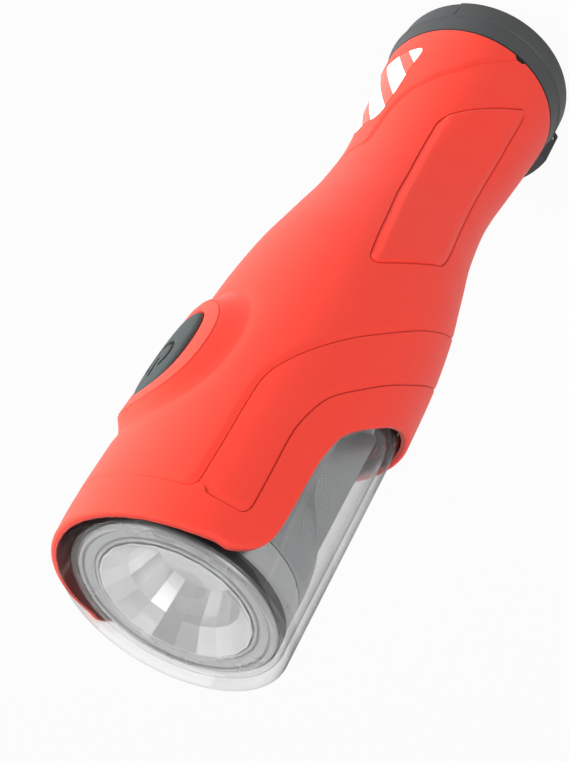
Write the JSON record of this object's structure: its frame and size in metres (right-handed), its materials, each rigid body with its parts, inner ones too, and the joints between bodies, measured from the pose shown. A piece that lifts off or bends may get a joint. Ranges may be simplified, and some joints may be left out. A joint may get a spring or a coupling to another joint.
{
  "type": "hand crank flashlight",
  "caption": "Hand crank flashlight: slim-waisted grip, clear bulbous head with spot and area lights, side button, and a tail cap that turns a generator by a fold-out arm.",
  "frame": {"origin": "centre of the tail cap's rear face, on which the flashlight stands", "axes": "+Z from the tail to the lens, -Y towards the push button, +Y towards the clear side window, -X towards the pictured side"},
  "size_m": [0.0616, 0.0624, 0.2064],
  "materials": {
    "red_skin": "soft-touch moulding",
    "label": "printed film with red diagonal stripes",
    "clear": "clear polished plastic",
    "bezel": "satin metallised plastic",
    "mirror": "vacuum-metallised",
    "lamp_silver": "satin metallised plastic",
    "white_board": "white solder mask",
    "led": "phosphor under a clear dome",
    "diffuser": "frosted",
    "green_board": "green solder mask",
    "black_part": "moulded black",
    "chassis_grey": "moulded grey",
    "cell": "shrink sleeve over a steel can",
    "nickel": "nickel plated",
    "charcoal_plastic": "fine satin moulding",
    "brass": "turned",
    "steel": "bright",
    "copper": "enamelled copper winding",
    "screw_steel": "black zinc plated",
    "lead": "insulated",
    "pad": "matt",
    "acetal": "natural acetal",
    "magnet": "ground ferrite"
  },
  "bodies": {
    "housing": {"grip_shell": "red_skin", "stripe_label": "label", "clear_head_cover": "clear", "front_bezel": "bezel", "reflector": "mirror", "lamp_housing": "lamp_silver", "spot_led_board": "white_board", "spot_led": "led", "area_light_diffuser": "diffuser", "area_led_board": "white_board", "area_led_1": "led", "area_led_2": "led", "area_led_3": "led", "main_circuit_board": "green_board", "tact_switch": "black_part", "control_chip": "black_part", "charge_capacitor": "black_part", "chassis": "chassis_grey", "battery_cell_1": "cell", "battery_cell_2": "cell", "battery_cell_3": "cell", "battery_contact_rear": "nickel", "battery_contact_front": "nickel", "tail_plate": "charcoal_plastic", "tail_bearing": "brass", "gearbox_plate": "charcoal_plastic", "idler_pin": "steel", "wheel_pin": "steel", "generator_can": "steel", "stator_coil": "copper", "gearbox_screw_1": "screw_steel", "gearbox_screw_2": "screw_steel", "gearbox_screw_3": "screw_steel", "tail_screw_1": "screw_steel", "tail_screw_2": "screw_steel", "tail_screw_3": "screw_steel", "board_screw_1": "screw_steel", "board_screw_2": "screw_steel", "lamp_screw_1": "screw_steel", "lamp_screw_2": "screw_steel", "generator_lead": "lead", "battery_lead": "lead", "spot_lead": "lead", "area_lead": "lead"},
    "crank": {"crank_cap": "charcoal_plastic", "hinge_block": "black_part", "hinge_pin": "steel", "crank_shaft": "steel", "shaft_screw": "screw_steel", "crank_gear": "acetal"},
    "arm": {"crank_arm": "charcoal_plastic", "knob_rivet": "steel"},
    "knob": {"crank_knob": "charcoal_plastic"},
    "button": {"power_button": "pad", "switch_stem": "black_part"},
    "idler": {"idler_gear": "acetal"},
    "wheel": {"wheel_gear": "acetal"},
    "rotor": {"rotor_shaft": "steel", "rotor_magnet": "magnet"}
  },
  "joints": [
    {"name": "crank_turn", "type": "hinge", "parent": "housing", "child": "crank", "pos_m": [0, 0, 0], "axis": [0, 0, 1], "continuous": true},
    {"name": "crank_fold", "type": "hinge", "parent": "crank", "child": "arm", "pos_m": [0, 0.0262, 0.0024], "axis": [1, 0, 0], "range_deg": [0, 180]},
    {"name": "knob_spin", "type": "hinge", "parent": "arm", "child": "knob", "pos_m": [0, -0.0155, 0.0048], "axis": [0, 0, 1], "continuous": true},
    {"name": "button_press", "type": "slide", "parent": "housing", "child": "button", "axis": [0, 1, 0], "range_m": [0, 0.0009], "stiffness_N_per_m": 1500, "springref_m": -0.0004},
    {"name": "idler_turn", "type": "hinge", "parent": "housing", "child": "idler", "pos_m": [0.0127, 0, 0.0171], "axis": [0, 0, 1], "continuous": true},
    {"name": "wheel_turn", "type": "hinge", "parent": "housing", "child": "wheel", "pos_m": [0.00363, 0.00478, 0.0209], "axis": [0, 0, 1], "continuous": true},
    {"name": "rotor_turn", "type": "hinge", "parent": "housing", "child": "rotor", "pos_m": [-0.0049, -0.00645, 0.0243], "axis": [0, 0, 1], "continuous": true}
  ],
  "couplings": [
    {"joint": "idler_turn", "follows": "crank_turn", "ratio": -3},
    {"joint": "wheel_turn", "follows": "crank_turn", "ratio": 6.6667},
    {"joint": "rotor_turn", "follows": "crank_turn", "ratio": -26.667}
  ]
}
